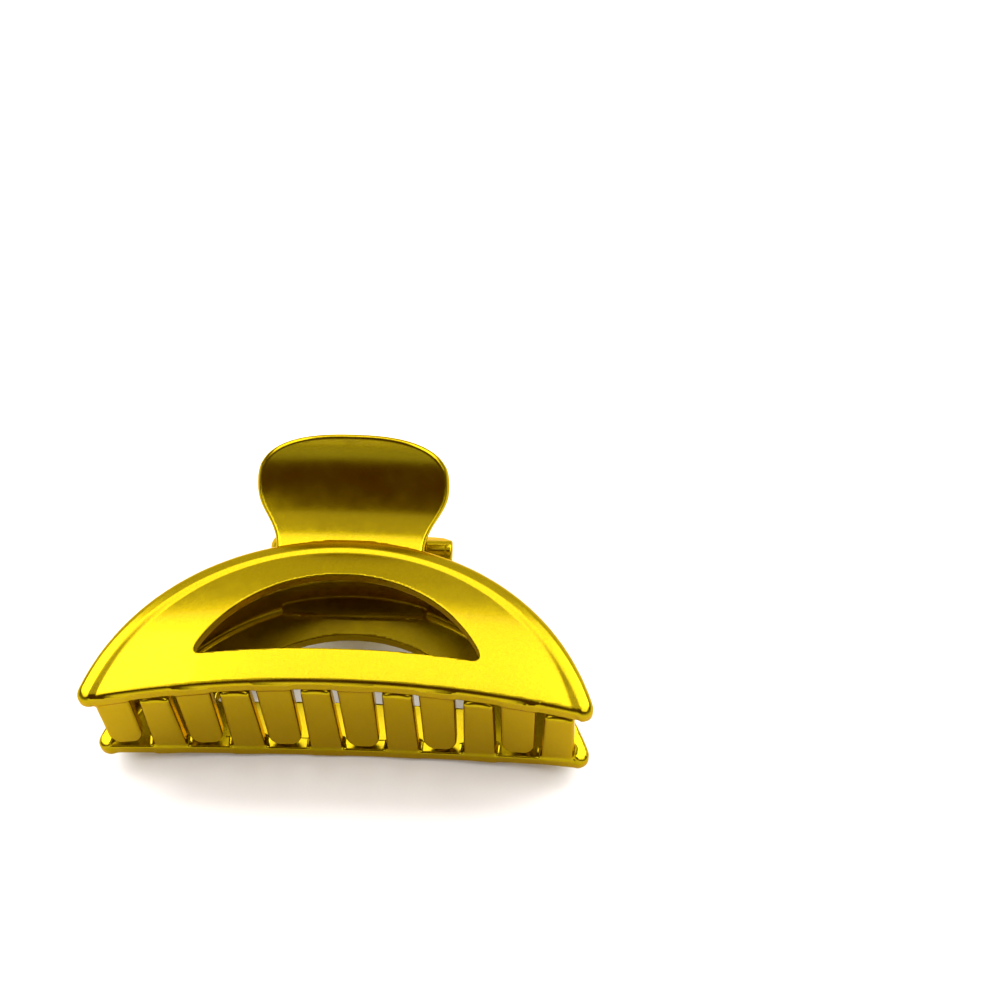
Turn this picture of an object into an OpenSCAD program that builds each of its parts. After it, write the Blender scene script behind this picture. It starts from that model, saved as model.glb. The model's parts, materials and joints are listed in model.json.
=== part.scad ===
// Half-moon jaw hair clip: two equal moulded jaws that turn on a steel pin,
// held shut by a torsion spring wound round the pin.
// The clip lies on its side: X runs along its length, Y from the teeth back to
// the handles, Z up. All sizes are in millimetres.

/* [Half-moon plates] */
// Length of the clip between its tips, before they are rounded
clip_len = 89; // [82:1:96]
// Depth of a plate, from the line of its tips back to the top of its arc
plate_depth = 34; // [32.5:0.5:36]
// How far the middle of the front edge stands behind the line of the tips
front_hollow = 2.8; // [1.5:0.1:3.5]
// Thickness of the moulded wall
wall = 2.4; // [2:0.1:2.8]
// Rise of a plate's outer face in the middle of its length, above its tips
bow = 4.3; // [3.5:0.1:5]
// Height of the outer face over the middle plane, at the front edge
front_height = 15.5; // [14.5:0.25:16.5]
// Height of the outer face over the middle plane, at the top of the arc
back_height = 9.8; // [9:0.1:10.5]
// Outward swell of a plate between its arc and its front edge
camber = 1.75; // [1.2:0.05:2.2]
// Rounding of the plate's tips
tip_round = 2; // [1:0.1:2.4]
// Height of the plate's front band, over which the teeth stand
rim_t = 3.1; // [2.8:0.1:3.4]
// Gap between the back walls of the shut jaws, at the middle
seam_gap = 0.8; // [0.6:0.1:1.2]

/* [Half-moon window] */
// Half the length of the window
window_half = 25.8; // [23:0.1:27]
// Gap from the top of the arc to the top of the window
window_back = 8.7; // [8:0.1:10]
// Gap from the top of the arc to the upper window's straight side, at the middle
window_front = 24.5; // [23.5:0.1:25.5]
// The same gap in the lower jaw
lower_window_front = 21.4; // [20.5:0.1:23]
// How far the window's straight side is hollowed, like the front edge
window_hollow = 1.2; // [0.6:0.1:1.6]
// Rounding of the window's corners
window_round = 1.2; // [0.6:0.1:1.6]

/* [Teeth] */
// Teeth on each jaw
teeth = 6; // [4:1:6]
// Distance between neighbouring teeth of one jaw
tooth_pitch = 13.95; // [13.5:0.05:14.2]
// Sideways step that lets one jaw's teeth pass between the other's
tooth_step = 3.55; // [3.2:0.05:3.7]
// Width of an upper tooth at the plate, and at the start of its rounded end
upper_tooth_w = 6.2; // [5.6:0.1:6.4]
upper_end_w = 6; // [5.2:0.1:6.2]
// Length of an upper tooth's rounded end
upper_end_len = 4; // [2.5:0.1:4.5]
// Width of a lower tooth at the plate, and at the start of its rounded end
lower_tooth_w = 6; // [5.4:0.1:6.2]
lower_end_w = 5.2; // [4.8:0.1:5.8]
// Length of a lower tooth's rounded end
lower_end_len = 1.5; // [1:0.1:3]
// Thickness of a tooth, front to back
tooth_t = 2.4; // [2:0.1:2.8]

/* [Handles] */
// Half the width of the neck between plate and handle
neck_half = 13.5; // [13:0.1:14.5]
// Half the width of the handle
handle_half = 17.6; // [16.5:0.1:19]
// Squareness of the handle's outline: 2 is an ellipse, more is squarer
handle_square = 2.5; // [2:0.1:3]
// Length of the handle along its scooped face
handle_len = 20.6; // [19:0.1:22]
// Radius of the scoop, seen from the side
scoop_r = 18.5; // [17:0.1:22]
// Slope of the scooped face where it leaves the plate
scoop_start = 3.2; // [1:0.1:8]
// How far the neck lies below the plate's arc edge
neck_drop = 0.7; // [0.3:0.1:1]

/* [Hinge] */
// Distance from the top of the arc back to the hinge axis
axis_back = 4; // [3.5:0.1:4.5]
// Radius of the hinge pin
pin_r = 0.75; // [0.6:0.05:0.9]
// Gap between the pin and the bores that turn on it
running_gap = 0.05; // [0.02:0.01:0.1]
// Radius of a hinge lug
lug_r = 2.1; // [1.9:0.1:2.4]
// Gap between lugs that turn against each other
lug_gap = 0.3; // [0.2:0.05:0.4]
// Radius of the spring's wire
wire_r = 0.45; // [0.35:0.05:0.5]
// Radius of the coil, to the middle of the wire
coil_r = 2.1; // [1.8:0.05:2.3]
// Turns in the coil
coil_turns = 6; // [4:1:7]

/* [Hidden] */
$fn = 180;
gold = [0.86, 0.72, 0.08];
steel = [0.72, 0.73, 0.75];

half_len = clip_len / 2;
arc_top = -axis_back;
tip_y = arc_top - plate_depth;
front_y = tip_y + front_hollow;

// Sine or cosine, raised so that an outline drawn with it is squarer than an ellipse
function squared(t) = sign(t) * pow(abs(t), 2 / handle_square);

// Radius of a circle through the ends and the middle of an arc
function arc_radius(half_chord, rise) = (half_chord * half_chord + rise * rise) / (2 * rise);

arc_r = arc_radius(half_len, plate_depth);
hollow_r = arc_radius(half_len, front_hollow);
bow_r = arc_radius(half_len, bow);
window_hollow_r = arc_radius(window_half, window_hollow);

// Side view of a jaw: (y, z) with the hinge axis at the origin
plate_run = arc_top - front_y;
plate_slope = atan2(front_height - back_height, plate_run);
plate_chord = norm([plate_run, front_height - back_height]);
camber_r = arc_radius(plate_chord / 2, camber);
plate_mid = [(arc_top + front_y) / 2, (front_height + back_height) / 2];
plate_normal = [sin(plate_slope), cos(plate_slope)];
camber_centre = plate_mid - (camber_r - camber) * plate_normal;
// Angle of the sweep that gives the jaw its bow, more than its tips need
bow_sweep = 40;

neck_z = back_height - neck_drop;
scoop_centre = [arc_top - scoop_r * sin(scoop_start), neck_z + scoop_r * cos(scoop_start)];
scoop_end = scoop_start + handle_len / scoop_r * 180 / PI;

// Point on the scooped face, or wall below it, where its slope is a
function scoop_point(a, depth = 0) = scoop_centre + (scoop_r + depth) * [sin(a), -cos(a)];

handle_tip = scoop_point(scoop_end);
// Slope of the straight line from the neck to the handle's tip
handle_chord = handle_tip - [arc_top, neck_z];
handle_slope = atan2(handle_chord[1], handle_chord[0]);
handle_reach = norm(handle_chord);

// The clip rests on the lower jaw's front edge and on its handle's tip
rest_tilt = atan2(handle_tip[1] - front_height, handle_tip[0] - front_y);
rest_lift = front_height * cos(rest_tilt) - front_y * sin(rest_tilt);
under_tip = handle_tip + wall / cos(scoop_end - handle_slope) * [sin(handle_slope), -cos(handle_slope)];
back_most = under_tip[0] * cos(rest_tilt) + under_tip[1] * sin(rest_tilt);

// Height of the outer face at the front edge, x away from the middle
function rim_height(x) = front_height - bow_r + sqrt(bow_r * bow_r - x * x);

front_most = tip_y * cos(rest_tilt) - rim_height(half_len) * sin(rest_tilt);
rest_shift = -(front_most + back_most) / 2;

// Arc of a back wall's free edge, from the seam up to the tips
seam_r = arc_radius(half_len, front_height - bow - wall - seam_gap / 2);

lip = 0.15;
tip_gap = 0.65;
first_tooth = -(teeth - 1) / 2 * tooth_pitch - tooth_step;

// Lugs, as the stretch of X that each one fills
lug_len = 3.4;
lug_inset = 0.8;
outer_lug_len = 5;
outer_ear_t = 1.3;
outer_lug = [neck_half - lug_inset / 2, neck_half - lug_inset / 2 + outer_lug_len];
near_lug = [neck_half - lug_inset - lug_len, neck_half - lug_inset];
far_lug = [lug_inset - neck_half, lug_inset + lug_len - neck_half];
inner_lug = [far_lug[1] + lug_gap, far_lug[1] + lug_gap + lug_len];
pin_inset = 0.3;
pin_ends = [far_lug[0] + pin_inset, outer_lug[1] - pin_inset];

coil_pitch = 2 * wire_r + 0.12;
coil_mid = (inner_lug[1] + near_lug[0]) / 2;
// Slope of the scooped face where the legs press on its back
leg_touch = 36;
leg_gap = 0.04;
leg_end = scoop_point(leg_touch, wall + wire_r + leg_gap);
leg_angle = atan2(leg_end[1], leg_end[0]) - asin(coil_r / norm(leg_end));
coil_sweep = 360 * coil_turns + 180 - 2 * leg_angle;
coil_len = coil_pitch * coil_sweep / 360;
coil_steps = 28 * coil_turns;
wire_sides = 10;

// A solid of the side view drawn by its children as (radius, y), swept
// round the axis that gives the jaw its bow
module bowed() {
    translate([0, 0, front_height - bow_r])
        rotate([-90, -90, 0])
            rotate([0, 0, -bow_sweep / 2])
                rotate_extrude(angle = bow_sweep, $fn = 360)
                    children();
}

// Turns a (y, z) place into the (radius, y) plane of bowed()
module side_place(p) {
    translate([p[1] + bow_r - front_height, p[0]])
        children();
}

module ring(outer, inner) {
    difference() {
        circle(outer);
        circle(inner);
    }
}

// Rounds the outward corners of a flat shape
module soften(r) {
    offset(r = r, $fn = 40)
        offset(r = -r, $fn = 40)
            children();
}

// Region between a back arc and a hollowed front edge
module half_moon(top, back_r, bottom, front_r) {
    difference() {
        translate([0, top - back_r])
            circle(back_r);
        translate([0, bottom - front_r])
            circle(front_r, $fn = 360);
    }
}

module plate_outline() {
    soften(tip_round)
        half_moon(arc_top, arc_r, front_y, hollow_r);
}

module window_outline(front) {
    soften(window_round)
        half_moon(arc_top - window_back, arc_radius(window_half, front - window_back),
                  arc_top - front, window_hollow_r);
}

// Neck and handle, drawn on the plane of the handle's chord from the neck
module handle_outline() {
    waist_r = 4;
    root = 7;
    widest = handle_reach * 0.53;
    offset(r = -waist_r, $fn = 60)
        offset(delta = waist_r) {
            translate([-neck_half, -root])
                square([2 * neck_half, root + widest]);
            translate([0, widest])
                polygon([for (a = [3:6:357])
                    [handle_half * squared(cos(a)), (handle_reach - widest) * squared(sin(a))]]);
        }
}

// Wall that turns in from the plate's arc to the seam with the other jaw
module back_wall() {
    intersection() {
        bowed()
            side_place(camber_centre)
                circle(camber_r - wall / 2);
        translate([0, 0, seam_gap / 2 + seam_r])
            rotate([90, 0, 0])
                cylinder(r = seam_r, h = 3 * clip_len, center = true);
        linear_extrude(2 * front_height)
            difference() {
                square(3 * clip_len, center = true);
                translate([0, arc_top - arc_r])
                    circle(arc_r - wall);
            }
    }
}

// Band that makes the plate thicker along its front edge
module front_band() {
    intersection() {
        bowed()
            side_place(camber_centre)
                ring(camber_r - wall / 2, camber_r - rim_t);
        linear_extrude(2 * front_height)
            translate([0, front_y - hollow_r])
                ring(hollow_r + tooth_t, hollow_r / 2);
    }
}

module plate(window_front) {
    difference() {
        intersection() {
            union() {
                bowed()
                    side_place(camber_centre)
                        ring(camber_r, camber_r - wall);
                back_wall();
                front_band();
            }
            linear_extrude(2 * front_height)
                plate_outline();
        }
        linear_extrude(2 * front_height)
            window_outline(window_front);
    }
}

module handle() {
    intersection() {
        bowed()
            side_place(scoop_centre)
                ring(scoop_r + wall, scoop_r);
        translate([0, arc_top, neck_z])
            rotate([handle_slope, 0, 0])
                translate([0, 0, -2.5 * wall])
                    linear_extrude(3.5 * wall)
                        handle_outline();
    }
}

// Front view of a tooth, (x, z), from the plate down to its rounded end
module tooth_front(top, bottom, root_w, end_w, end_len) {
    polygon(concat(
        [[root_w / 2, top], [-root_w / 2, top]],
        [for (a = [180:12:360]) [end_w / 2 * cos(a), bottom + end_len * (1 + sin(a))]]));
}

// Side view of a tooth, (y, z)
module tooth_side(top, bottom) {
    translate([0, bottom + tooth_t / 2])
        square([tooth_t, top - bottom - tooth_t / 2]);
    translate([tooth_t / 2, bottom + tooth_t / 2])
        circle(tooth_t / 2, $fn = 48);
}

// Tooth on the front edge, turned to follow it, x away from the middle
module tooth(x, root_w, end_w, end_len) {
    top = rim_height(x) - wall / 2;
    bottom = rim_t + tip_gap - rim_height(abs(x) + root_w / 2);
    translate([0, front_y - hollow_r, 0])
        rotate([0, 0, -asin(x / hollow_r)])
            translate([0, hollow_r + lip, 0])
                intersection() {
                    translate([0, 2 * tooth_t, 0])
                        rotate([90, 0, 0])
                            linear_extrude(3 * tooth_t)
                                tooth_front(top, bottom, root_w, end_w, end_len);
                    translate([-root_w, 0, 0])
                        rotate([90, 0, 90])
                            linear_extrude(2 * root_w)
                                tooth_side(top, bottom);
                }
}

// Barrel round the hinge axis with a web up to the wall, less its bore
module lug(span, bore_r, web = undef) {
    translate([span[0], 0, 0])
        rotate([90, 0, 90])
            linear_extrude(span[1] - span[0])
                difference() {
                    union() {
                        circle(lug_r);
                        if (web)
                            polygon(web);
                    }
                    circle(bore_r);
                }
}

// Webs in side view, (y, z): up to the neck, and forward to the back wall
web_root = [-5.5, 3.5];
under_neck = [[-lug_r, 0], [lug_r, 0], [web_root[1], neck_z], [web_root[0], neck_z - wall / 4]];
wall_y = arc_top - arc_r + sqrt(arc_r * arc_r - outer_lug[1] * outer_lug[1]) - wall / 2;
arm = [[0, lug_r], [wall_y, 3 * lug_r], [wall_y, 1.4 * lug_r], [-lug_r, -pin_r]];

// One moulding: plate with its window, teeth and handle
module jaw_shell(window_front, root_w, end_w, end_len) {
    plate(window_front);
    handle();
    for (i = [0:teeth - 1])
        tooth(first_tooth + i * tooth_pitch, root_w, end_w, end_len);
}

// Stands the clip on its side as it rests
module at_rest() {
    translate([0, rest_shift, rest_lift])
        rotate([rest_tilt, 0, 0])
            children();
}

module upper_jaw() {
    color(gold)
        at_rest() {
            jaw_shell(window_front, upper_tooth_w, upper_end_w, upper_end_len);
            lug(near_lug, pin_r + running_gap, under_neck);
            lug(far_lug, pin_r + running_gap, under_neck);
        }
}

module lower_jaw() {
    color(gold)
        at_rest()
            rotate([0, 180, 0]) {
                jaw_shell(lower_window_front, lower_tooth_w, lower_end_w, lower_end_len);
                lug([-inner_lug[1], -inner_lug[0]], pin_r, under_neck);
                lug([-outer_lug[1], -outer_lug[0]], pin_r);
                lug([-outer_lug[1], outer_ear_t - outer_lug[1]], pin_r, arm);
            }
}

module hinge_pin() {
    color(steel)
        at_rest()
            translate([pin_ends[0], 0, 0])
                rotate([0, 90, 0])
                    cylinder(h = pin_ends[1] - pin_ends[0], r = pin_r, $fn = 48);
}

// Middle of the wire at step i of the coil, as [x, y, z]
function coil_point(i) =
    let (a = 270 - leg_angle - coil_sweep * i / coil_steps)
    [coil_mid + coil_len * (i / coil_steps - 0.5), coil_r * cos(a), coil_r * sin(a)];

function wire_path() = concat(
    [[coil_mid - coil_len / 2, leg_end[0], -leg_end[1]]],
    [for (i = [0:coil_steps]) coil_point(i)],
    [[coil_mid + coil_len / 2, leg_end[0], leg_end[1]]]);

function unit(v) = v / norm(v);

// Ring of points round the wire at step i of a path
function wire_ring(path, i) =
    let (last = len(path) - 1,
         along = unit(path[min(i + 1, last)] - path[max(i - 1, 0)]),
         side = unit(cross(along, [1, 0, 0])),
         up = cross(side, along))
    [for (k = [0:wire_sides - 1])
        path[i] + wire_r * (cos(360 * k / wire_sides) * side + sin(360 * k / wire_sides) * up)];

module torsion_spring() {
    path = wire_path();
    last = len(path) - 1;
    points = [for (i = [0:last]) each wire_ring(path, i)];
    sides = [for (i = [0:last - 1]) for (k = [0:wire_sides - 1])
        let (n = (k + 1) % wire_sides, a = i * wire_sides, b = a + wire_sides)
        [a + k, b + k, b + n, a + n]];
    start = [[for (k = [0:wire_sides - 1]) k]];
    stop = [[for (k = [wire_sides - 1:-1:0]) last * wire_sides + k]];
    color(steel)
        at_rest()
            polyhedron(points, concat(sides, start, stop));
}

lower_jaw();
upper_jaw();
hinge_pin();
torsion_spring();
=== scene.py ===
"""Half-moon jaw hair clip in gold lacquer, lying closed on a white studio table.

The jaws are signed-distance shapes, in the millimetres of the clip's own frame: the hinge
axis is the origin, X runs along the clip, -Y towards the teeth and Z up through the upper
jaw. Each one is meshed on a grid, drawn onto its surface and set down as the clip rests.
"""

import json
import math

import bpy
import numpy as np
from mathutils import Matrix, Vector


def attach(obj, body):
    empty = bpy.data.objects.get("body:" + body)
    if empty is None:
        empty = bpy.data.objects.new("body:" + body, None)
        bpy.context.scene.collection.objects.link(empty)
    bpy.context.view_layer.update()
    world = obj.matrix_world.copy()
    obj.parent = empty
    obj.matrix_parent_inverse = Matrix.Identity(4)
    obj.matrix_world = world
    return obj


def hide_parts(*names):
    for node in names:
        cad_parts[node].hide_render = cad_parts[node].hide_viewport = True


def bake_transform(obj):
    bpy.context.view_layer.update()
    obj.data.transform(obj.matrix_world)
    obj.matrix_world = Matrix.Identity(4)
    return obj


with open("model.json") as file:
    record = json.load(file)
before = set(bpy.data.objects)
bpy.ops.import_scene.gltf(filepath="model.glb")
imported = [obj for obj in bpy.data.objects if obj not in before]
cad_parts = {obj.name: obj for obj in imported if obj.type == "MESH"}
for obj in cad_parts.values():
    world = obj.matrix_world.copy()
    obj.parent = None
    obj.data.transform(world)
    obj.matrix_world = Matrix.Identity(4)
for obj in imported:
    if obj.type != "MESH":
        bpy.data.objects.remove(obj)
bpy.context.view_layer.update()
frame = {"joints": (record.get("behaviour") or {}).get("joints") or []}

MM = 0.001

# Half-moon plate
HALF_LEN = 44.5
PLATE_DEPTH = 34.0
FRONT_HOLLOW = 2.8
WALL = 2.4
BOW = 4.3
FRONT_HEIGHT = 15.5
BACK_HEIGHT = 9.8
CAMBER = 1.75
TIP_ROUND = 2.6
RIM_T = 3.1
SEAM_GAP = 0.8

# Window
WINDOW_HALF = 24.7
WINDOW_BACK = 8.7
WINDOW_FRONT = 24.5
LOWER_WINDOW_FRONT = 21.4
WINDOW_HOLLOW = 1.2
WINDOW_ROUND = 2.0

# Teeth
TEETH = 6
TOOTH_PITCH = 13.95
TOOTH_STEP = 3.55
# Width at the plate, width at the rounded end, length of the rounded end
UPPER_TOOTH = (6.2, 6.0, 4.0)
LOWER_TOOTH = (6.0, 5.2, 1.5)
TOOTH_T = 2.4
TOOTH_LIP = 0.15
TIP_GAP = 0.65

# Handle
NECK_HALF = 13.5
NECK_ROOT = 7.0
HANDLE_HALF = 17.6
HANDLE_SQUARE = 2.5
HANDLE_LEN = 20.6
SCOOP_R = 18.5
SCOOP_START = math.radians(3.2)
NECK_DROP = 0.7
WAIST_R = 4.0
# Where the handle is widest, as a share of the way from the neck to its tip
WIDEST_SHARE = 0.53
# Reach of the handle's slab below the line from neck to tip, in wall thicknesses
SLAB_WALLS = 2.5

# Hinge
AXIS_BACK = 4.0
PIN_R = 0.75
RUNNING_GAP = 0.05
LUG_R = 2.1
LUG_LEN = 3.4
LUG_INSET = 0.8
LUG_GAP = 0.3
OUTER_LUG_LEN = 5.0
OUTER_EAR_T = 1.3
PIN_INSET = 0.3
WIRE_R = 0.45
COIL_R = 2.1
COIL_TURNS = 6
WIRE_GAP = 0.12
# Slope of the scooped face where the spring's legs press on its back
LEG_TOUCH = math.radians(36)
LEG_GAP = 0.04
# Y of the web's two corners on the neck
WEB_BACK = 3.5
WEB_FRONT = -5.5
PIN_CHAMFER = 0.15
PIN_SIDES = 48
WIRE_SIDES = 16
LEG_STEPS = 8
STEPS_A_TURN = 48

# Moulded roundings
PLATE_EDGE = 0.9
WINDOW_EDGE = 0.25
WALL_FILLET = 1.2
SEAM_EDGE = 0.4
HANDLE_EDGE = 1.0
TOOTH_EDGE = 0.6
ROOT_FILLET = 0.8
NECK_FILLET = 0.35
LUG_EDGE = 0.4
WEB_FILLET = 0.2

# Meshing grid, and the half step over which a gradient is measured
CELL = 0.3
SLOPE_STEP = 0.02


def arc_radius(half_chord, rise):
    return (half_chord**2 + rise**2) / (2 * rise)


ARC_TOP = -AXIS_BACK
FRONT_Y = ARC_TOP - PLATE_DEPTH + FRONT_HOLLOW
ARC_R = arc_radius(HALF_LEN, PLATE_DEPTH)
HOLLOW_R = arc_radius(HALF_LEN, FRONT_HOLLOW)
BOW_R = arc_radius(HALF_LEN, BOW)
BOW_Z = FRONT_HEIGHT - BOW_R
SEAM_R = arc_radius(HALF_LEN, FRONT_HEIGHT - BOW - WALL - SEAM_GAP / 2)
WINDOW_HOLLOW_R = arc_radius(WINDOW_HALF, WINDOW_HOLLOW)

# Side view of the plate: an arc of centre CAMBER_Y, CAMBER_Z
PLATE_RUN = ARC_TOP - FRONT_Y
PLATE_SLOPE = math.atan2(FRONT_HEIGHT - BACK_HEIGHT, PLATE_RUN)
CAMBER_R = arc_radius(math.hypot(PLATE_RUN, FRONT_HEIGHT - BACK_HEIGHT) / 2, CAMBER)
CAMBER_Y = (ARC_TOP + FRONT_Y) / 2 - (CAMBER_R - CAMBER) * math.sin(PLATE_SLOPE)
CAMBER_Z = (FRONT_HEIGHT + BACK_HEIGHT) / 2 - (CAMBER_R - CAMBER) * math.cos(PLATE_SLOPE)

# Side view of the handle: an arc of centre SCOOP_Y, SCOOP_Z
NECK_Z = BACK_HEIGHT - NECK_DROP
SCOOP_Y = ARC_TOP - SCOOP_R * math.sin(SCOOP_START)
SCOOP_Z = NECK_Z + SCOOP_R * math.cos(SCOOP_START)
SCOOP_END = SCOOP_START + HANDLE_LEN / SCOOP_R


def scoop_point(slope, depth=0.0):
    """Point of the scooped face, or depth below it, where its slope is slope, as (y, z)."""
    reach = SCOOP_R + depth
    return SCOOP_Y + reach * math.sin(slope), SCOOP_Z - reach * math.cos(slope)


TIP_Y, TIP_Z = scoop_point(SCOOP_END)
HANDLE_SLOPE = math.atan2(TIP_Z - NECK_Z, TIP_Y - ARC_TOP)
HANDLE_REACH = math.hypot(TIP_Z - NECK_Z, TIP_Y - ARC_TOP)
HANDLE_WIDEST = HANDLE_REACH * WIDEST_SHARE

# The clip rests on the lower jaw's front edge and its handle's tip
REST_TILT = math.atan2(TIP_Z - FRONT_HEIGHT, TIP_Y - FRONT_Y)
HINGE = Vector(frame["joints"][0]["pos_m"])

# Lugs, as the stretch of X that each one fills
OUTER_LUG = (NECK_HALF - LUG_INSET / 2, NECK_HALF - LUG_INSET / 2 + OUTER_LUG_LEN)
NEAR_LUG = (NECK_HALF - LUG_INSET - LUG_LEN, NECK_HALF - LUG_INSET)
FAR_LUG = (LUG_INSET - NECK_HALF, LUG_INSET + LUG_LEN - NECK_HALF)
INNER_LUG = (FAR_LUG[1] + LUG_GAP, FAR_LUG[1] + LUG_GAP + LUG_LEN)
PIN_ENDS = (FAR_LUG[0] + PIN_INSET, OUTER_LUG[1] - PIN_INSET)


# ---------------------------------------------------------------- shapes


def rounded_and(a, b, r):
    """Overlap of two shapes, with their shared edge rounded to r."""
    corner = np.hypot(np.maximum(a + r, 0), np.maximum(b + r, 0))
    return np.minimum(np.maximum(a, b), -r) + corner


def rounded_or(a, b, r):
    """Both shapes together, with a fillet of r where they meet."""
    corner = np.hypot(np.maximum(r - a, 0), np.maximum(r - b, 0))
    return np.maximum(np.minimum(a, b), r) - corner


def half_moon(x, y, top, back_r, bottom, front_r, r):
    """Region between a back arc and a hollowed front edge, seen from above."""
    back = np.hypot(x, y - (top - back_r)) - back_r
    front = front_r - np.hypot(x, y - (bottom - front_r))
    return rounded_and(back, front, r)


def bowed(x, z):
    """Height in the side view of a point that the jaw's bow has carried to x, z."""
    return np.hypot(x, z - BOW_Z) + BOW_Z


def rim_height(x):
    """Height of the outer face at the front edge."""
    return FRONT_HEIGHT - BOW_R + math.sqrt(BOW_R**2 - x * x)


def plate(x, y, z, window_front):
    """Skin of the half moon, its back wall and its thicker front band."""
    top = np.hypot(y - CAMBER_Y, bowed(x, z) - CAMBER_Z) - CAMBER_R
    back = np.hypot(x, y - (ARC_TOP - ARC_R)) - ARC_R
    front = HOLLOW_R - np.hypot(x, y - (FRONT_Y - HOLLOW_R))
    outline = half_moon(x, y, ARC_TOP, ARC_R, FRONT_Y, HOLLOW_R, TIP_ROUND)
    block = rounded_and(top, outline, PLATE_EDGE)
    sheet = rounded_and(block, -top - WALL, SEAM_EDGE)
    seam = np.hypot(x, z - SEAM_GAP / 2 - SEAM_R) - SEAM_R
    wall = rounded_and(rounded_and(block, -back - WALL, SEAM_EDGE), seam, SEAM_EDGE)
    band = np.maximum(rounded_and(block, -top - RIM_T, SEAM_EDGE), -front - TOOTH_T)
    shell = np.minimum(rounded_or(sheet, wall, WALL_FILLET), band)
    window_r = arc_radius(WINDOW_HALF, window_front - WINDOW_BACK)
    window = half_moon(
        x, y, ARC_TOP - WINDOW_BACK, window_r, ARC_TOP - window_front, WINDOW_HOLLOW_R, WINDOW_ROUND
    )
    return rounded_and(shell, -window, WINDOW_EDGE)


def handle(x, y, z):
    """Scooped sheet with a narrow neck and a rounded paddle, cut to its outline."""
    side = np.hypot(y - SCOOP_Y, bowed(x, z) - SCOOP_Z)
    sheet = np.abs(side - SCOOP_R - WALL / 2) - WALL / 2
    cos, sin = math.cos(HANDLE_SLOPE), math.sin(HANDLE_SLOPE)
    along = (y - ARC_TOP) * cos + (z - NECK_Z) * sin
    above = (z - NECK_Z) * cos - (y - ARC_TOP) * sin
    neck = np.maximum(np.abs(x) - NECK_HALF, np.maximum(-NECK_ROOT - along, along - HANDLE_WIDEST))
    tall = HANDLE_REACH - HANDLE_WIDEST
    past = along - HANDLE_WIDEST
    n = HANDLE_SQUARE
    u, v = np.abs(x) / HANDLE_HALF, np.abs(past) / tall
    scale = (u**n + v**n + 1e-9) ** (1 / n)
    steep = np.hypot(u ** (n - 1) / HANDLE_HALF, v ** (n - 1) / tall) / scale ** (n - 1)
    paddle = (scale - 1) / np.maximum(steep, 1 / HANDLE_HALF)
    outline = rounded_or(neck, paddle, WAIST_R)
    slab = np.maximum(above - WALL, -SLAB_WALLS * WALL - above)
    return np.maximum(rounded_and(sheet, outline, HANDLE_EDGE), slab)


def tooth(x, y, z, at, sizes):
    """Flat blade on the front edge, turned to follow it, with a rounded end."""
    root_w, end_w, end_len = sizes
    top = rim_height(at) - WALL / 2
    bottom = RIM_T + TIP_GAP - rim_height(abs(at) + root_w / 2)
    turn = math.asin(at / HOLLOW_R)
    ahead = y - (FRONT_Y - HOLLOW_R)
    x, y = (
        x * math.cos(turn) - ahead * math.sin(turn),
        x * math.sin(turn) + ahead * math.cos(turn) - HOLLOW_R - TOOTH_LIP,
    )
    half_t = TOOTH_T / 2
    below = np.minimum(z - bottom - half_t, 0)
    side = np.hypot(y - half_t, below) - half_t
    side = np.where(below < 0, side, np.abs(y - half_t) - half_t)
    end_z = bottom + end_len
    taper = (root_w - end_w) / 2 / (top - end_z)
    flank = (np.abs(x) - end_w / 2 - (z - end_z) * taper) * math.cos(math.atan(taper))
    u, v = x / (end_w / 2), (z - end_z) / end_len
    scale = np.hypot(u, v) + 1e-9
    steep = np.hypot(u / (end_w / 2), v / end_len) / scale
    end = (scale - 1) / np.maximum(steep, 1 / max(end_w, 2 * end_len))
    front = np.where(z > end_z, flank, end)
    return np.maximum(rounded_and(side, front, TOOTH_EDGE), z - top)


def convex(y, z, corners):
    """Convex outline in the side view, its corners going round anticlockwise."""
    out = np.full_like(y, -1e3)
    for (ya, za), (yb, zb) in zip(corners, corners[1:] + corners[:1]):
        length = math.hypot(yb - ya, zb - za)
        out = np.maximum(out, ((y - ya) * (zb - za) - (z - za) * (yb - ya)) / length)
    return out


def lug(x, y, z, span, web=None):
    """Barrel round the hinge axis, with a web up to the moulding."""
    ends = np.abs(x - (span[0] + span[1]) / 2) - (span[1] - span[0]) / 2
    barrel = rounded_and(np.hypot(y, z) - LUG_R, ends, LUG_EDGE)
    if web is None:
        return barrel
    return rounded_or(barrel, rounded_and(convex(y, z, web), ends, LUG_EDGE), WEB_FILLET)


UNDER_NECK = [(-LUG_R, 0), (LUG_R, 0), (WEB_BACK, NECK_Z), (WEB_FRONT, NECK_Z - WALL / 4)]
WALL_Y = ARC_TOP - ARC_R + math.sqrt(ARC_R**2 - OUTER_LUG[1] ** 2) - WALL / 2
ARM = [(0, LUG_R), (WALL_Y, 3 * LUG_R), (WALL_Y, 1.4 * LUG_R), (-LUG_R, -PIN_R)]
UPPER_LUGS = [(NEAR_LUG, UNDER_NECK), (FAR_LUG, UNDER_NECK)]
LOWER_LUGS = [
    ((-INNER_LUG[1], -INNER_LUG[0]), UNDER_NECK),
    ((-OUTER_LUG[1], -OUTER_LUG[0]), None),
    ((-OUTER_LUG[1], OUTER_EAR_T - OUTER_LUG[1]), ARM),
]


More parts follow.
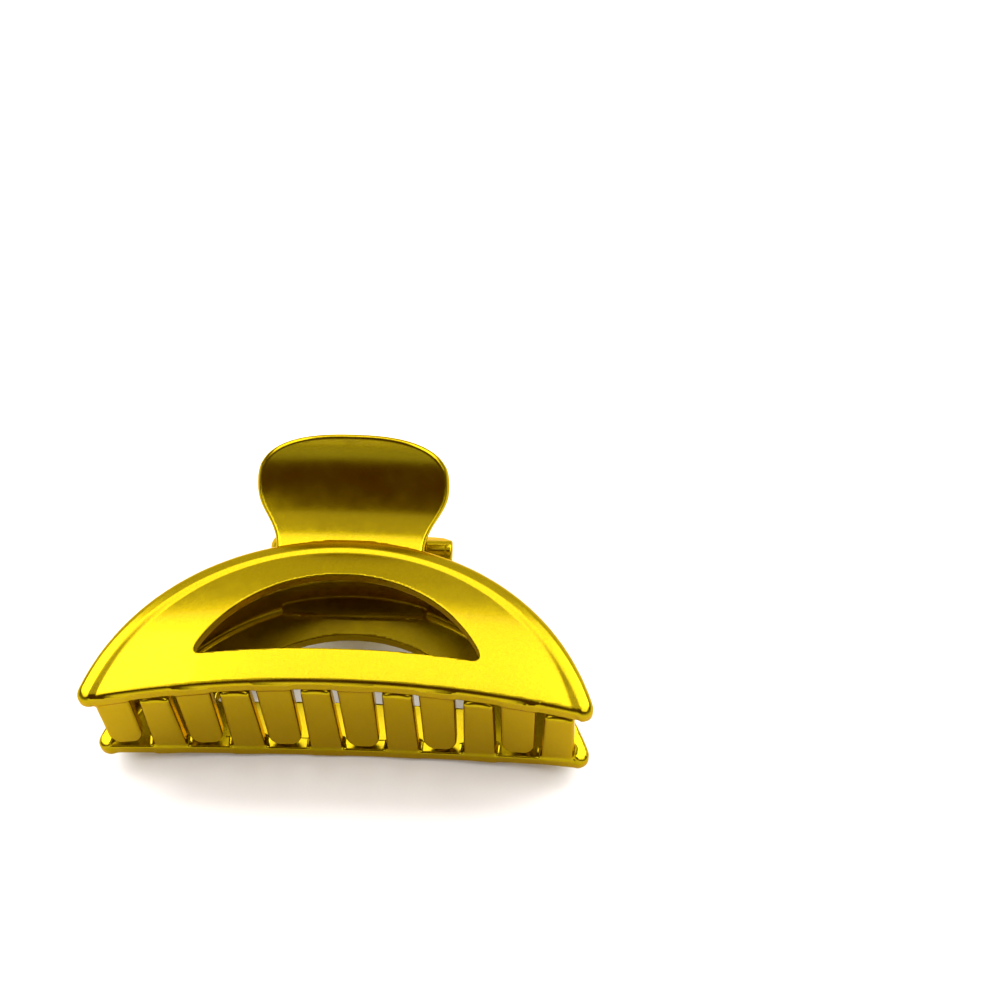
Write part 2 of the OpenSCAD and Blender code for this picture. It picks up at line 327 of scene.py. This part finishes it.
def jaw(p, window_front, tooth_sizes, lugs, bore_r):
    """Distance from the points p to a jaw's surface, negative inside it."""
    x, y, z = p
    d = rounded_or(plate(x, y, z, window_front), handle(x, y, z), NECK_FILLET)
    first = -(TEETH - 1) / 2 * TOOTH_PITCH - TOOTH_STEP
    for i in range(TEETH):
        at = first + i * TOOTH_PITCH
        near = (np.abs(x - at) < TOOTH_PITCH / 2) & (y < FRONT_Y + 4 * TOOTH_T)
        blade = tooth(x[near], y[near], z[near], at, tooth_sizes)
        d[near] = rounded_or(d[near], blade, ROOT_FILLET)
    for span, web in lugs:
        near = (x > span[0] - LUG_R) & (x < span[1] + LUG_R) & (y > -5 * LUG_R)
        d[near] = rounded_or(d[near], lug(x[near], y[near], z[near], span, web), WEB_FILLET)
    return np.maximum(d, bore_r - np.hypot(y, z))


# ---------------------------------------------------------------- meshing

AXES = np.eye(3, dtype=int)


def surface_net(d):
    """Vertices, in cells, and quads of the zero surface of the grid d."""
    inside = d < 0
    cells = np.zeros(np.array(d.shape) - 1, np.uint8)
    corners = [(i, j, k) for i in (0, 1) for j in (0, 1) for k in (0, 1)]
    nx, ny, nz = cells.shape
    for i, j, k in corners:
        cells += inside[i : i + nx, j : j + ny, k : k + nz]
    at = np.argwhere((cells > 0) & (cells < 8))
    number = np.full(cells.shape, -1)
    number[tuple(at.T)] = np.arange(len(at))
    total, count = np.zeros((len(at), 3)), np.zeros(len(at))
    for axis in range(3):
        for c in corners:
            if c[axis]:
                continue
            a = d[tuple((at + c).T)]
            b = d[tuple((at + c + AXES[axis]).T)]
            crosses = (a < 0) != (b < 0)
            t = np.where(crosses, a / np.where(crosses, a - b, 1), 0)
            total += crosses[:, None] * (np.array(c) + t[:, None] * AXES[axis])
            count += crosses
    quads = []
    for axis in range(3):
        u, v = AXES[(axis + 1) % 3], AXES[(axis + 2) % 3]
        a = np.take(inside, range(d.shape[axis] - 1), axis)
        b = np.take(inside, range(1, d.shape[axis]), axis)
        edge = np.argwhere(a != b)
        edge = edge[(edge[:, (axis + 1) % 3] > 0) & (edge[:, (axis + 2) % 3] > 0)]
        ring = [number[tuple((edge - o).T)] for o in (0 * u, u, u + v, v)]
        quad = np.stack(ring, 1)
        outward = a[tuple(edge.T)]
        quads.append(np.where(outward[:, None], quad, quad[:, ::-1]))
    return at + total / count[:, None], np.concatenate(quads)


def slopes(shape, p):
    """Gradient of shape at the points p."""
    g = np.empty_like(p)
    for axis in range(3):
        step = np.zeros((3, 1))
        step[axis] = SLOPE_STEP
        g[axis] = (shape(p + step) - shape(p - step)) / (2 * SLOPE_STEP)
    return g


def mesh_shape(shape, low, high):
    """Vertices, normals and quads of shape, drawn onto its true surface."""
    ticks = [np.arange(a, b, CELL) for a, b in zip(low, high)]
    grid = np.meshgrid(*ticks, indexing="ij")
    d = shape([g.ravel() for g in grid]).reshape(grid[0].shape)
    v, quads = surface_net(d)
    p = (np.array(low) + v * CELL).T
    for _ in range(4):
        g = slopes(shape, p)
        p = p - np.clip(shape(p), -CELL / 2, CELL / 2) * g / np.maximum((g * g).sum(0), 0.3)
    g = slopes(shape, p)
    return p.T, (g / np.linalg.norm(g, axis=0)).T, quads


def set_down(v, turned=False):
    """Clip frame to row frame for directions: over onto the other side, then tilted."""
    if turned:
        v = v * (-1, 1, -1)
    cos, sin = math.cos(REST_TILT), math.sin(REST_TILT)
    return np.stack([v[:, 0], v[:, 1] * cos - v[:, 2] * sin, v[:, 1] * sin + v[:, 2] * cos], 1)


def add_mesh(name, vertices, faces, material, node, normals=None):
    """A piece that stands for a CAD node; its vertices are in the clip frame's millimetres."""
    mesh = bpy.data.meshes.new(name)
    mesh.from_pydata((vertices * MM + HINGE).tolist(), [], faces)
    mesh.polygons.foreach_set("use_smooth", [True] * len(mesh.polygons))
    if normals is not None:
        mesh.normals_split_custom_set_from_vertices(normals.tolist())
    mesh.materials.append(material)
    obj = bpy.data.objects.new(name, mesh)
    bpy.context.collection.objects.link(obj)
    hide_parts(node)
    return obj


def build_jaw(name, shape, turned, material, body, node):
    low = (-HALF_LEN - 1, ARC_TOP - PLATE_DEPTH - 1, WALL - FRONT_HEIGHT - 1)
    high = (HALF_LEN + 1, TIP_Y + WALL + 1, TIP_Z + WALL)
    v, n, quads = mesh_shape(lambda p: jaw(p, *shape), low, high)
    v, n = set_down(v, turned), set_down(n, turned)
    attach(add_mesh(name, v, quads.tolist(), material, node, n), body)


# ---------------------------------------------------------------- pin and spring


def tube(path, radii, sides):
    """Round tube along path, with a radius at each of its points, closed at both ends."""
    along = np.gradient(path, axis=0)
    along /= np.linalg.norm(along, axis=1)[:, None]
    side = np.cross(along, (1, 0, 0))
    if np.linalg.norm(side, axis=1).min() < 1e-6:
        side = np.tile((0.0, 1.0, 0.0), (len(path), 1))
    side /= np.linalg.norm(side, axis=1)[:, None]
    up = np.cross(side, along)
    turn = np.linspace(0, 2 * math.pi, sides, endpoint=False)
    ring = np.cos(turn)[:, None] * side[:, None] + np.sin(turn)[:, None] * up[:, None]
    vertices = (path[:, None] + np.asarray(radii)[:, None, None] * ring).reshape(-1, 3)
    faces = [list(range(sides))[::-1], list(range(len(vertices) - sides, len(vertices)))]
    for i in range(len(path) - 1):
        for k in range(sides):
            n = (k + 1) % sides
            faces.append([i * sides + k, i * sides + n, (i + 1) * sides + n, (i + 1) * sides + k])
    return vertices, faces


def build_pin(material):
    x = [PIN_ENDS[0], PIN_ENDS[0] + PIN_CHAMFER, PIN_ENDS[1] - PIN_CHAMFER, PIN_ENDS[1]]
    path = np.array([(v, 0, 0) for v in x])
    end_r = PIN_R - PIN_CHAMFER
    vertices, faces = tube(path, [end_r, PIN_R, PIN_R, end_r], PIN_SIDES)
    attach(add_mesh("pin", set_down(vertices), faces, material, "hinge_pin"), "lower_half")


def build_spring(material):
    """Coil round the pin with two straight legs, out to the backs of the two handles."""
    end_y, end_z = scoop_point(LEG_TOUCH, WALL + WIRE_R + LEG_GAP)
    leg = math.atan2(end_z, end_y) - math.asin(COIL_R / math.hypot(end_y, end_z))
    sweep = 2 * math.pi * COIL_TURNS + math.pi - 2 * leg
    length = (2 * WIRE_R + WIRE_GAP) * sweep / (2 * math.pi)
    middle = (INNER_LUG[1] + NEAR_LUG[0]) / 2
    t = np.linspace(0, 1, STEPS_A_TURN * COIL_TURNS + 1)
    a = 1.5 * math.pi - leg - sweep * t
    coil = np.stack([middle + length * (t - 0.5), COIL_R * np.cos(a), COIL_R * np.sin(a)], 1)
    start = np.array([coil[0, 0], end_y, -end_z])
    stop = np.array([coil[-1, 0], end_y, end_z])
    share = np.linspace(0, 1, LEG_STEPS, endpoint=False)[:, None]
    first_leg = start + (coil[0] - start) * share
    last_leg = (stop + (coil[-1] - stop) * share)[::-1]
    path = np.concatenate([first_leg, coil, last_leg])
    vertices, faces = tube(path, np.full(len(path), WIRE_R), WIRE_SIDES)
    spring = add_mesh("spring", set_down(vertices), faces, material, "torsion_spring")
    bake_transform(spring)


# ---------------------------------------------------------------- materials


def new_material(name):
    material = bpy.data.materials.new(name)
    material.use_nodes = True
    tree = material.node_tree
    return material, tree, tree.nodes["Principled BSDF"]


def noise(tree, scale, detail=2.0, stretch=(1, 1, 1)):
    place = tree.nodes.new("ShaderNodeTexCoord")
    turn = tree.nodes.new("ShaderNodeMapping")
    turn.inputs["Scale"].default_value = stretch
    node = tree.nodes.new("ShaderNodeTexNoise")
    node.inputs["Scale"].default_value = scale
    node.inputs["Detail"].default_value = detail
    tree.links.new(place.outputs["Object"], turn.inputs["Vector"])
    tree.links.new(turn.outputs["Vector"], node.inputs["Vector"])
    return node.outputs["Fac"]


def between(tree, factor, low, high):
    """Number that follows factor from low to high."""
    node = tree.nodes.new("ShaderNodeMapRange")
    node.inputs["From Min"].default_value = 0.3
    node.inputs["From Max"].default_value = 0.7
    node.inputs["To Min"].default_value = low
    node.inputs["To Max"].default_value = high
    tree.links.new(factor, node.inputs["Value"])
    return node.outputs["Result"]


def blend_colours(tree, factor, first, second):
    node = tree.nodes.new("ShaderNodeMix")
    node.data_type = "RGBA"
    node.inputs["A"].default_value = (*first, 1)
    node.inputs["B"].default_value = (*second, 1)
    tree.links.new(factor, node.inputs["Factor"])
    return node.outputs["Result"]


def add_bump(tree, shader, height, distance, strength):
    node = tree.nodes.new("ShaderNodeBump")
    node.inputs["Distance"].default_value = distance
    node.inputs["Strength"].default_value = strength
    tree.links.new(height, node.inputs["Height"])
    tree.links.new(node.outputs["Normal"], shader.inputs["Normal"])


# The lacquer's colour at its darkest and brightest flakes, and its edges
DARK_FLAKE = (0.29, 0.210, 0.002)
BRIGHT_FLAKE = (0.36, 0.265, 0.003)
GOLD_EDGE = (0.9, 0.62, 0.02, 1)


def gold_lacquer():
    """Metallic gold under a glossy clear coat: fine flakes and a faint orange peel."""
    material, tree, shader = new_material("gold_lacquer")
    flakes = tree.nodes.new("ShaderNodeTexVoronoi")
    flakes.inputs["Scale"].default_value = 9000
    place = tree.nodes.new("ShaderNodeTexCoord")
    tree.links.new(place.outputs["Object"], flakes.inputs["Vector"])
    grain = tree.nodes.new("ShaderNodeSeparateColor")
    tree.links.new(flakes.outputs["Color"], grain.inputs["Color"])
    colour = blend_colours(tree, grain.outputs["Red"], DARK_FLAKE, BRIGHT_FLAKE)
    tree.links.new(colour, shader.inputs["Base Color"])
    shader.inputs["Metallic"].default_value = 1.0
    tree.links.new(between(tree, noise(tree, 260, 4), 0.18, 0.25), shader.inputs["Roughness"])
    shader.inputs["Specular Tint"].default_value = GOLD_EDGE
    shader.inputs["Coat Weight"].default_value = 0.06
    shader.inputs["Coat Roughness"].default_value = 0.05
    add_bump(tree, shader, noise(tree, 420, 3), 0.00002, 0.35)
    return material


def steel(name, colour, roughness, stretch):
    """Drawn steel wire: fine marks along its length."""
    material, tree, shader = new_material(name)
    marks = noise(tree, 2500, 3, stretch)
    darker = tuple(c * 0.8 for c in colour)
    tree.links.new(blend_colours(tree, marks, darker, colour), shader.inputs["Base Color"])
    shader.inputs["Metallic"].default_value = 1.0
    tree.links.new(between(tree, marks, roughness, roughness + 0.12), shader.inputs["Roughness"])
    add_bump(tree, shader, marks, 0.00001, 0.3)
    return material


# ---------------------------------------------------------------- studio


def build_floor():
    material, tree, shader = new_material("white_table")
    colour = blend_colours(tree, noise(tree, 6, 2), (0.90, 0.90, 0.90), (0.92, 0.92, 0.92))
    tree.links.new(colour, shader.inputs["Base Color"])
    shader.inputs["Roughness"].default_value = 0.7
    bpy.ops.mesh.primitive_plane_add(size=6)
    floor = bpy.context.object
    floor.name = "table"
    floor.data.materials.append(material)


def add_panel(name, azimuth, elevation, distance, wide, tall, radiance):
    """Soft light that faces the clip. Azimuth 0 stands on the +Y side, and 90 at +X."""
    lamp = bpy.data.lights.new(name, "AREA")
    lamp.shape = "RECTANGLE"
    lamp.size, lamp.size_y = wide, tall
    lamp.energy = radiance * math.pi * wide * tall
    obj = bpy.data.objects.new(name, lamp)
    a, e = math.radians(azimuth), math.radians(elevation)
    towards = Vector((math.sin(a) * math.cos(e), math.cos(a) * math.cos(e), math.sin(e)))
    obj.location = towards * distance
    obj.rotation_euler = towards.to_track_quat("Z", "Y").to_euler()
    bpy.context.collection.objects.link(obj)


# Room colours, and the sines of the elevations between which one turns into the other
PALE_ROOM = (0.8, 0.79, 0.77)
DARK_ROOM = (0.13, 0.05, 0.015)
PALE_BELOW = 0.2
DARK_ABOVE = 0.28


def build_lights():
    """Panels above and behind the clip, in a room that is pale low down and dark brown above."""
    add_panel("overhead_panel", 0, 66, 0.8, 2.6, 0.46, 3.9)
    add_panel("fading_panel", 0, 96, 0.8, 2.0, 0.3, 0.9)
    add_panel("back_panel", 0, 33, 1.0, 2.6, 0.7, 1.0)
    add_panel("low_back_panel", 0, 4, 1.0, 2.6, 0.34, 0.5)
    add_panel("left_panel", -90, 50, 1.0, 1.2, 0.6, 3.4)
    add_panel("right_panel", 90, 50, 1.0, 1.2, 0.6, 3.4)
    world = bpy.data.worlds.new("studio")
    world.use_nodes = True
    tree = world.node_tree
    place = tree.nodes.new("ShaderNodeTexCoord")
    parts = tree.nodes.new("ShaderNodeSeparateXYZ")
    tree.links.new(place.outputs["Generated"], parts.inputs["Vector"])
    height = tree.nodes.new("ShaderNodeMapRange")
    height.inputs["From Min"].default_value = PALE_BELOW
    height.inputs["From Max"].default_value = DARK_ABOVE
    tree.links.new(parts.outputs["Z"], height.inputs["Value"])
    colour = blend_colours(tree, height.outputs["Result"], PALE_ROOM, DARK_ROOM)
    tree.links.new(colour, tree.nodes["Background"].inputs["Color"])
    bpy.context.scene.world = world


CAMERA_PITCH = math.radians(52.32)
CAMERA_YAW = math.radians(1.977)
CAMERA_PLACE = (0.0337, -0.1824, 0.2867)
CAMERA_LENS = 63.95


def build_camera():
    data = bpy.data.cameras.new("camera")
    data.lens = CAMERA_LENS
    data.sensor_width = 36
    data.clip_start, data.clip_end = 0.01, 20
    camera = bpy.data.objects.new("camera", data)
    camera.location = CAMERA_PLACE
    camera.rotation_euler = (math.pi / 2 - CAMERA_PITCH, 0, CAMERA_YAW)
    bpy.context.collection.objects.link(camera)
    bpy.context.scene.camera = camera


gold = gold_lacquer()
upper_shape = (WINDOW_FRONT, UPPER_TOOTH, UPPER_LUGS, PIN_R + RUNNING_GAP)
lower_shape = (LOWER_WINDOW_FRONT, LOWER_TOOTH, LOWER_LUGS, PIN_R)
build_jaw("upper_half_moon", upper_shape, False, gold, "upper_half", "upper_jaw")
build_jaw("lower_half_moon", lower_shape, True, gold, "lower_half", "lower_jaw")
build_pin(steel("pin_wire", (0.62, 0.62, 0.63), 0.25, (0.1, 1, 1)))
build_spring(steel("spring_wire", (0.66, 0.66, 0.68), 0.22, (1, 1, 1)))
build_floor()
build_lights()
build_camera()
bpy.context.scene.view_settings.view_transform = "Standard"
